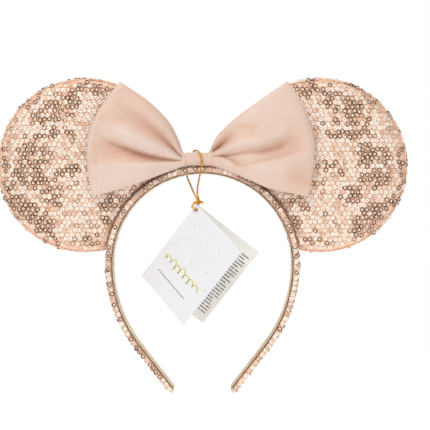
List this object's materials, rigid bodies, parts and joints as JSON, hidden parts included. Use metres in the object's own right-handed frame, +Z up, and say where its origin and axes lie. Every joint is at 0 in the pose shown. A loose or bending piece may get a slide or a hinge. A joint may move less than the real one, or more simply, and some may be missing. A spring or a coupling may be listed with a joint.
{
  "type": "animal ears headband",
  "caption": "Springy wrapped headband with padded round sequin ears, a gathered satin bow and a folded hang tag on a gold cord.",
  "frame": {"origin": "middle of the lining's inner face at the top of the crown, where the band sits on the head", "axes": "+X to the right as seen from the front, through both ears; +Y to the back, away from the bow; +Z up"},
  "size_m": [0.25, 0.0416, 0.1924],
  "materials": {
    "moulded_core": "matte",
    "sequin_fabric": "woven backing under sequins",
    "sequin": "metallised film",
    "lining": "ribbon weave",
    "stiff_felt": "pressed felt",
    "wadding": "fibre",
    "thread": "matte",
    "satin": "satin",
    "gold_cord": "metallic yarn",
    "card": "coated card"
  },
  "bodies": {
    "band": {"band_core_crown": "moulded_core", "band_cover_crown": "sequin_fabric", "band_lining_crown": "lining", "left_ear_board": "stiff_felt", "left_ear_front_wadding": "wadding", "left_ear_back_wadding": "wadding", "left_ear_front_panel": "sequin_fabric", "left_ear_back_panel": "sequin_fabric", "left_ear_tack_stitches": "thread", "right_ear_board": "stiff_felt", "right_ear_front_wadding": "wadding", "right_ear_back_wadding": "wadding", "right_ear_front_panel": "sequin_fabric", "right_ear_back_panel": "sequin_fabric", "right_ear_tack_stitches": "thread", "bow_left_loop": "satin", "bow_right_loop": "satin", "bow_gather_thread": "thread", "bow_knot_wrap": "satin", "bow_tack_stitches": "thread"},
    "left_leg": {"left_leg_core": "moulded_core", "left_leg_cover": "sequin_fabric", "left_leg_lining": "lining"},
    "right_leg": {"right_leg_core": "moulded_core", "right_leg_cover": "sequin_fabric", "right_leg_lining": "lining"},
    "tag_string": {"tag_string_loop": "gold_cord", "tag_string_knot": "gold_cord", "tag_string_eye": "gold_cord"},
    "tag_back": {"tag_back_leaf": "card"},
    "tag_front": {"tag_front_leaf": "card"}
  },
  "joints": [
    {"name": "left_leg_flex", "type": "hinge", "parent": "band", "child": "left_leg", "pos_m": [-0.05715, 0, -0.0546], "axis": [0, 1, 0], "range_deg": [-8, 20], "stiffness_Nm_per_rad": 0.5},
    {"name": "right_leg_flex", "type": "hinge", "parent": "band", "child": "right_leg", "pos_m": [0.05715, 0, -0.0546], "axis": [0, -1, 0], "range_deg": [-8, 20], "stiffness_Nm_per_rad": 0.5},
    {"name": "string_swing", "type": "hinge", "parent": "band", "child": "tag_string", "pos_m": [-0.0038, 0, 0.014], "axis": [0, -1, 0], "range_deg": [-8, 8]},
    {"name": "tag_swing", "type": "hinge", "parent": "tag_string", "child": "tag_back", "pos_m": [-0.005, -0.0031, -0.0207], "axis": [0.604, -0.1945, 0.7729], "range_deg": [-20, 20]},
    {"name": "tag_open", "type": "hinge", "parent": "tag_back", "child": "tag_front", "pos_m": [-0.005, -0.0031, -0.0207], "axis": [-0.604, 0.1945, -0.7729], "range_deg": [-33, 44], "stiffness_Nm_per_rad": 0.002}
  ]
}
